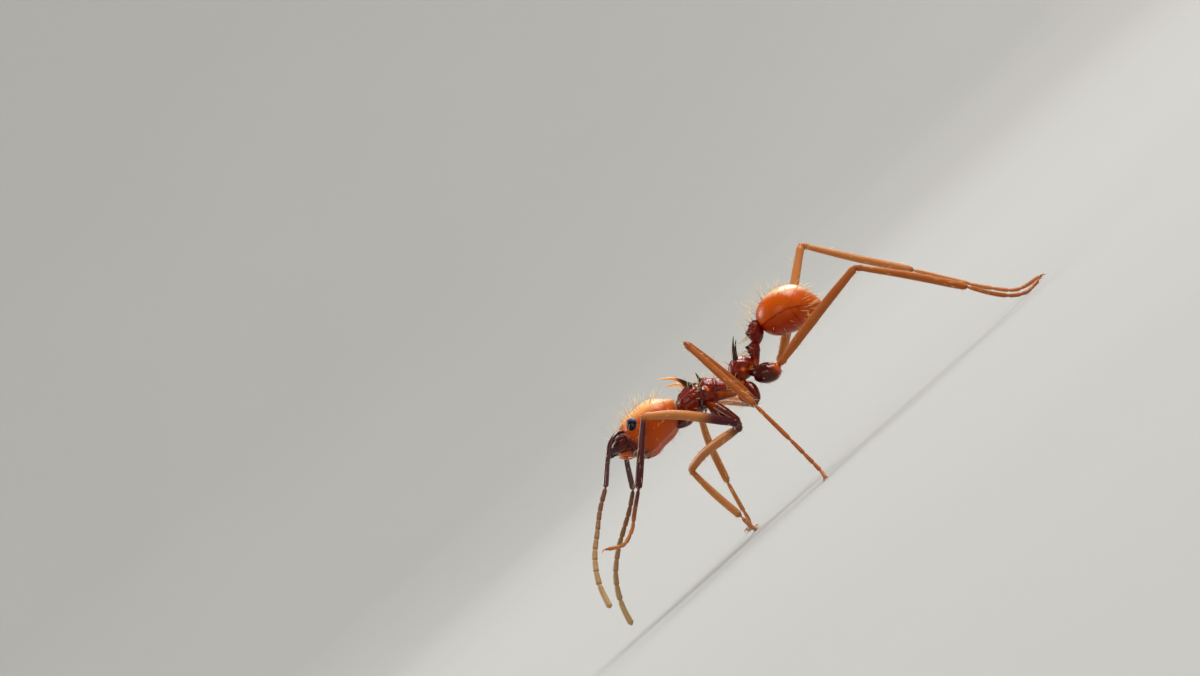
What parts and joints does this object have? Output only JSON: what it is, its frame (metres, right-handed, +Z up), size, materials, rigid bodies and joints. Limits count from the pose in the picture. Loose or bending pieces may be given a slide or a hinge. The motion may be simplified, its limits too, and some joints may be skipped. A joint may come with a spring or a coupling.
{
  "type": "leafcutter ant",
  "caption": "Life-size standing leafcutter ant worker with spined back, long bent legs and feelers, left fore leg raised.",
  "frame": {"origin": "on the floor, under the middle of the animal's bounding box", "axes": "+Z up, the head towards -X, the animal's left side towards -Y"},
  "size_m": [0.0166, 0.0106, 0.0061],
  "materials": {
    "head_shell": "glossy orange-brown cuticle",
    "eye": "glossy black",
    "mandible": "glossy near-black red-brown",
    "mouthparts": "satin orange",
    "gaster_shell": "very glossy red-orange cuticle",
    "coxa": "glossy maroon",
    "antenna": "satin tan",
    "leg": "glossy amber brown",
    "trunk_shell": "glossy dark red-brown"
  },
  "bodies": {
    "root": {"antenna_left_funiculus": "antenna", "antenna_left_scape": "antenna", "antenna_right_funiculus": "antenna", "antenna_right_scape": "antenna", "eye_left": "eye", "eye_right": "eye", "front_left_coxa": "coxa", "front_left_femur": "leg", "front_left_tarsus": "leg", "front_left_tibia": "leg", "front_right_coxa": "coxa", "front_right_femur": "leg", "front_right_tarsus": "leg", "front_right_tibia": "leg", "gaster": "gaster_shell", "head": "head_shell", "hind_left_coxa": "coxa", "hind_left_femur": "leg", "hind_left_tarsus": "leg", "hind_left_tibia": "leg", "hind_right_coxa": "coxa", "hind_right_femur": "leg", "hind_right_tarsus": "leg", "hind_right_tibia": "leg", "mandible_left": "mandible", "mandible_right": "mandible", "mesothorax": "trunk_shell", "mid_left_coxa": "coxa", "mid_left_femur": "leg", "mid_left_tarsus": "leg", "mid_left_tibia": "leg", "mid_right_coxa": "coxa", "mid_right_femur": "leg", "mid_right_tarsus": "leg", "mid_right_tibia": "leg", "mouthparts": "mouthparts", "petiole": "trunk_shell", "postpetiole": "trunk_shell", "pronotum": "trunk_shell", "propodeum": "trunk_shell"}
  },
  "joints": []
}
